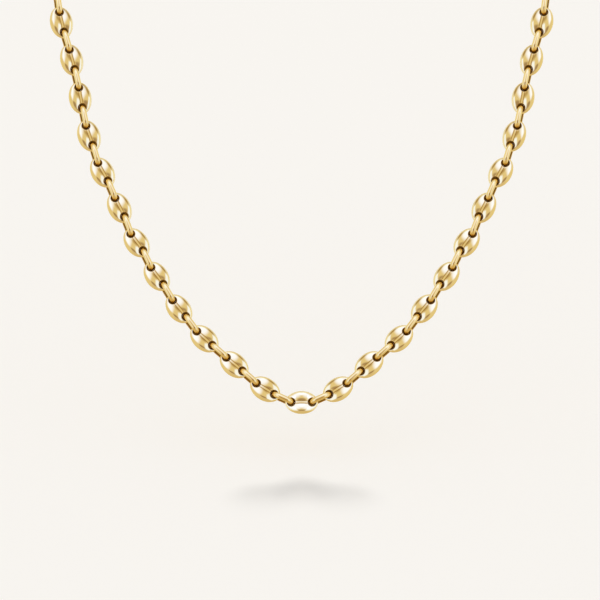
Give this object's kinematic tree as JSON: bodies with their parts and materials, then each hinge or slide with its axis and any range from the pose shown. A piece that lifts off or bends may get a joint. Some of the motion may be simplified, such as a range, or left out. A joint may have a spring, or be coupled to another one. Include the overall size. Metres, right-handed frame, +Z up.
{
  "type": "coffee bean chain necklace",
  "caption": "Closed necklace loop of puffed, grooved bean links joined by small oval wire rings, with a barrel clasp at the nape.",
  "frame": {"origin": "inner face of the clasp, where the necklace rests on the nape", "axes": "+Z up, -Y towards the front of the necklace, +X towards the wearer's left side"},
  "size_m": [0.1302, 0.098, 0.1319],
  "materials": {
    "bean_gold": "polished gold plate",
    "link_gold": "polished gold plate",
    "clasp_gold": "polished gold plate"
  },
  "bodies": {
    "root": {"bean_01": "bean_gold", "bean_02": "bean_gold", "bean_03": "bean_gold", "bean_04": "bean_gold", "bean_05": "bean_gold", "bean_06": "bean_gold", "bean_07": "bean_gold", "bean_08": "bean_gold", "bean_09": "bean_gold", "bean_10": "bean_gold", "bean_11": "bean_gold", "bean_12": "bean_gold", "bean_13": "bean_gold", "bean_14": "bean_gold", "bean_15": "bean_gold", "bean_16": "bean_gold", "bean_17": "bean_gold", "bean_18": "bean_gold", "bean_19": "bean_gold", "bean_20": "bean_gold", "bean_21": "bean_gold", "bean_22": "bean_gold", "bean_23": "bean_gold", "bean_24": "bean_gold", "bean_25": "bean_gold", "bean_26": "bean_gold", "bean_27": "bean_gold", "bean_28": "bean_gold", "bean_29": "bean_gold", "bean_30": "bean_gold", "bean_31": "bean_gold", "bean_32": "bean_gold", "bean_33": "bean_gold", "bean_34": "bean_gold", "bean_35": "bean_gold", "bean_36": "bean_gold", "bean_37": "bean_gold", "bean_38": "bean_gold", "bean_39": "bean_gold", "bean_40": "bean_gold", "bean_41": "bean_gold", "bean_42": "bean_gold", "bean_43": "bean_gold", "bean_44": "bean_gold", "bean_45": "bean_gold", "connector_links": "link_gold", "clasp": "clasp_gold"}
  },
  "joints": []
}
